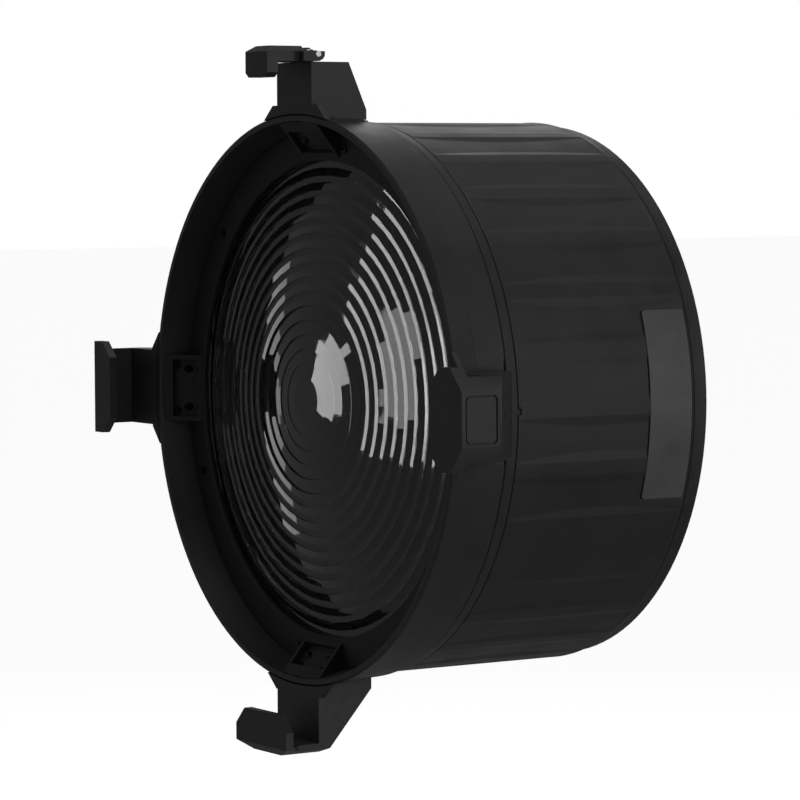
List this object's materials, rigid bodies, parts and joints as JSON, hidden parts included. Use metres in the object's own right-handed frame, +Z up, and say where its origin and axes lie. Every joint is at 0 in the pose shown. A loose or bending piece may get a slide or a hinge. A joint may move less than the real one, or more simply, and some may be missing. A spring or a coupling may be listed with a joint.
{
  "type": "zoom fresnel lens attachment",
  "caption": "Large round zoom Fresnel lens unit for a studio lamp: ribbed zoom sleeve, stepped glass lens in a hooded ring, accessory ears with a sprung top latch, rear bayonet.",
  "frame": {"origin": "centre of the rear bayonet ring's seating face, on the optical axis", "axes": "+Y along the optical axis towards the lamp, so the lens faces -Y; +Z up, through the latched top ear; +X towards the label"},
  "size_m": [0.361, 0.2309, 0.362],
  "materials": {
    "powder_coat": "fine satin black powder coat on die-cast aluminium",
    "inner_black": "matt black anti-glare paint on aluminium",
    "sleeve_black": "fine-textured matt black moulding",
    "label_grey": "blank satin dark grey plate",
    "lens_glass": "clear pressed borosilicate glass",
    "gasket_rubber": "silicone gasket",
    "tube_black": "black anodised tube",
    "slide_polymer": "low-friction polymer",
    "bare_steel": "ground steel",
    "black_screw": "black oxide",
    "bayonet_alloy": "satin bare aluminium"
  },
  "bodies": {
    "base": {"guide_tube": "tube_black", "front_wiper_ring": "slide_polymer", "front_bearing_band": "slide_polymer", "rear_bearing_band": "slide_polymer", "front_trim_ring": "powder_coat", "rear_trim_ring": "powder_coat", "rear_cover": "powder_coat", "cover_screws": "black_screw", "bayonet_ring": "bayonet_alloy", "bayonet_screws": "black_screw"},
    "zoom_sleeve": {"zoom_sleeve": "sleeve_black", "label_plate": "label_grey"},
    "lens_carriage": {"front_ring": "powder_coat", "carriage_tube": "tube_black", "fresnel_lens": "lens_glass", "lens_retainer": "inner_black", "lens_gasket": "gasket_rubber", "retainer_screws": "black_screw", "tube_screws": "black_screw", "rear_glide_ring": "slide_polymer", "cam_followers": "bare_steel", "slot_bushes": "slide_polymer", "cam_rollers": "slide_polymer", "ear_left": "powder_coat", "ear_right": "powder_coat", "ear_bottom": "powder_coat", "ear_top": "powder_coat", "ear_pads": "sleeve_black", "ear_grub_screws": "black_screw", "latch_pin": "bare_steel", "latch_spring": "bare_steel", "inner_bracket_top": "inner_black", "inner_bracket_right": "inner_black", "inner_bracket_bottom": "inner_black", "inner_bracket_left": "inner_black", "bracket_screws": "black_screw"},
    "latch": {"top_latch": "powder_coat"}
  },
  "joints": [
    {"name": "zoom_turn", "type": "hinge", "parent": "base", "child": "zoom_sleeve", "pos_m": [0, -0.1, 0], "axis": [0, 1, 0], "range_deg": [0, 108]},
    {"name": "lens_slide", "type": "slide", "parent": "base", "child": "lens_carriage", "axis": [0, -1, 0], "range_m": [0, 0.06]},
    {"name": "latch_hinge", "type": "hinge", "parent": "lens_carriage", "child": "latch", "pos_m": [0, -0.1955, 0.1773], "axis": [-1, 0, 0], "range_deg": [0, 100], "stiffness_Nm_per_rad": 0.06, "springref_deg": -28.65}
  ],
  "couplings": [
    {"joint": "lens_slide", "follows": "zoom_turn", "m_per_rad": 0.03183}
  ]
}
